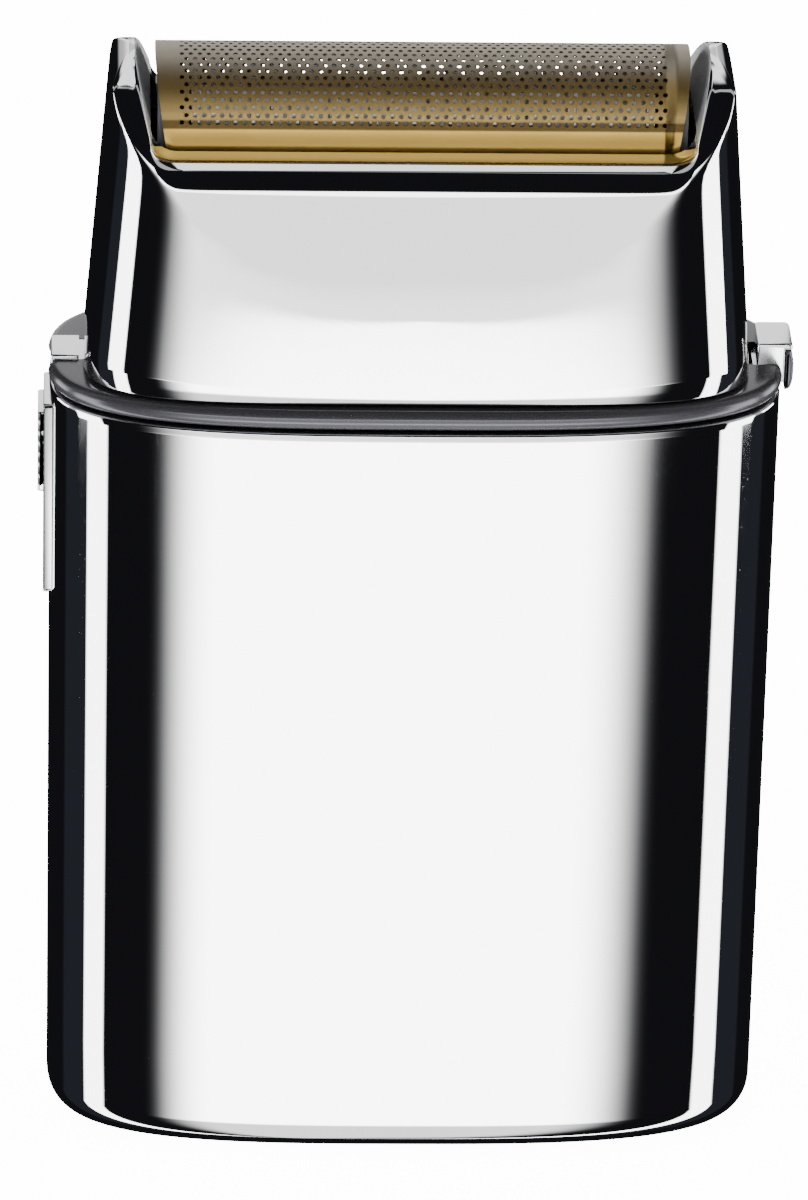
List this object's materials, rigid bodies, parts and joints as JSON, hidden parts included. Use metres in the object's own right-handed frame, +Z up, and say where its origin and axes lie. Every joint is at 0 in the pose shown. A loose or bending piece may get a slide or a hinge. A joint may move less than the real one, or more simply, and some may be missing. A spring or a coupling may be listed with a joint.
{
  "type": "foil shaver",
  "caption": "Cordless flat foil shaver: chrome body, narrower lift-off head, gold perforated foil over an oscillating cutter, side slide switch and latch button.",
  "frame": {"origin": "middle of the base plate's underside, on the surface the shaver stands on", "axes": "+Z up through the foil, -Y out of the wide front, +X towards the release button, -X towards the slide switch"},
  "size_m": [0.0661, 0.0256, 0.104],
  "materials": {
    "chrome_plate": "mirror polish",
    "dark_chrome": "smoked mirror polish",
    "bright_metal": "satin chrome",
    "gold_plate": "gold-tone plated, perforated",
    "black_plastic": "fine texture",
    "dark_bezel": "semi gloss",
    "grey_plastic": "moulded",
    "cell_sleeve": "shrink sleeve",
    "nickel": "nickel plated",
    "laminate": "solder-masked board",
    "red_lead": "insulated wire",
    "black_lead": "insulated wire",
    "lens": "clear moulded",
    "plated_steel": "zinc plated",
    "ferrite": "sintered",
    "rotor_core": "wound core",
    "ground_steel": "ground",
    "spring_steel": "drawn wire",
    "blade_steel": "ground",
    "brass": "turned",
    "acetal": "moulded",
    "rubber": "moulded",
    "screw_steel": "plated"
  },
  "bodies": {
    "handle": {"body_shell": "chrome_plate", "shoulder_ring": "dark_chrome", "base_plate": "black_plastic", "deck_plate": "black_plastic", "switch_bezel": "dark_bezel", "chassis": "grey_plastic", "battery_cell": "cell_sleeve", "battery_contact_bottom": "nickel", "battery_contact_top": "nickel", "circuit_board": "laminate", "motor_lead_red": "red_lead", "motor_lead_black": "black_lead", "slide_switch": "black_plastic", "charging_inlet": "black_plastic", "motor_end_cap": "black_plastic", "charge_lamp": "lens", "motor_can": "plated_steel", "motor_magnet_front": "ferrite", "motor_magnet_back": "ferrite", "motor_bracket": "ground_steel", "bridge_leg_left": "spring_steel", "bridge_leg_right": "spring_steel", "release_spring": "spring_steel", "deck_seal": "rubber", "base_screw_left": "screw_steel", "base_screw_right": "screw_steel", "bracket_screw_left": "screw_steel", "bracket_screw_right": "screw_steel", "deck_screw_left": "screw_steel", "deck_screw_right": "screw_steel"},
    "head": {"head_shell": "chrome_plate", "head_liner": "black_plastic", "head_hook": "bright_metal", "foil": "gold_plate", "foil_frame": "black_plastic"},
    "button": {"release_button": "bright_metal"},
    "switch": {"switch_knob": "bright_metal"},
    "rotor": {"motor_rotor": "rotor_core", "motor_shaft": "ground_steel", "eccentric": "brass", "crank_roller": "acetal"},
    "bridge": {"drive_bridge": "grey_plastic", "drive_post": "ground_steel", "cutter_spring": "spring_steel"},
    "cutter": {"cutter_carrier": "grey_plastic", "cutter_blades": "blade_steel"}
  },
  "joints": [
    {"name": "head_lift", "type": "slide", "parent": "handle", "child": "head", "axis": [0, 0, 1], "range_m": [0, 0.035]},
    {"name": "release_press", "type": "slide", "parent": "handle", "child": "button", "axis": [-1, 0, 0], "range_m": [0, 0.0006], "stiffness_N_per_m": 150, "springref_m": -0.001, "deforming": ["release_spring"]},
    {"name": "switch_slide", "type": "slide", "parent": "handle", "child": "switch", "axis": [0, 0, -1], "range_m": [0, 0.007]},
    {"name": "motor_spin", "type": "hinge", "parent": "handle", "child": "rotor", "pos_m": [0, 0, 0.04625], "axis": [0, 0, 1], "continuous": true},
    {"name": "bridge_oscillate", "type": "slide", "parent": "handle", "child": "bridge", "axis": [1, 0, 0], "range_m": [-0.0008, 0.0008], "stiffness_N_per_m": 200, "deforming": ["bridge_leg_left", "bridge_leg_right"]},
    {"name": "cutter_float", "type": "slide", "parent": "bridge", "child": "cutter", "axis": [0, 0, -1], "range_m": [0, 0.0012], "stiffness_N_per_m": 150, "springref_m": -0.002, "deforming": ["cutter_spring"]}
  ]
}
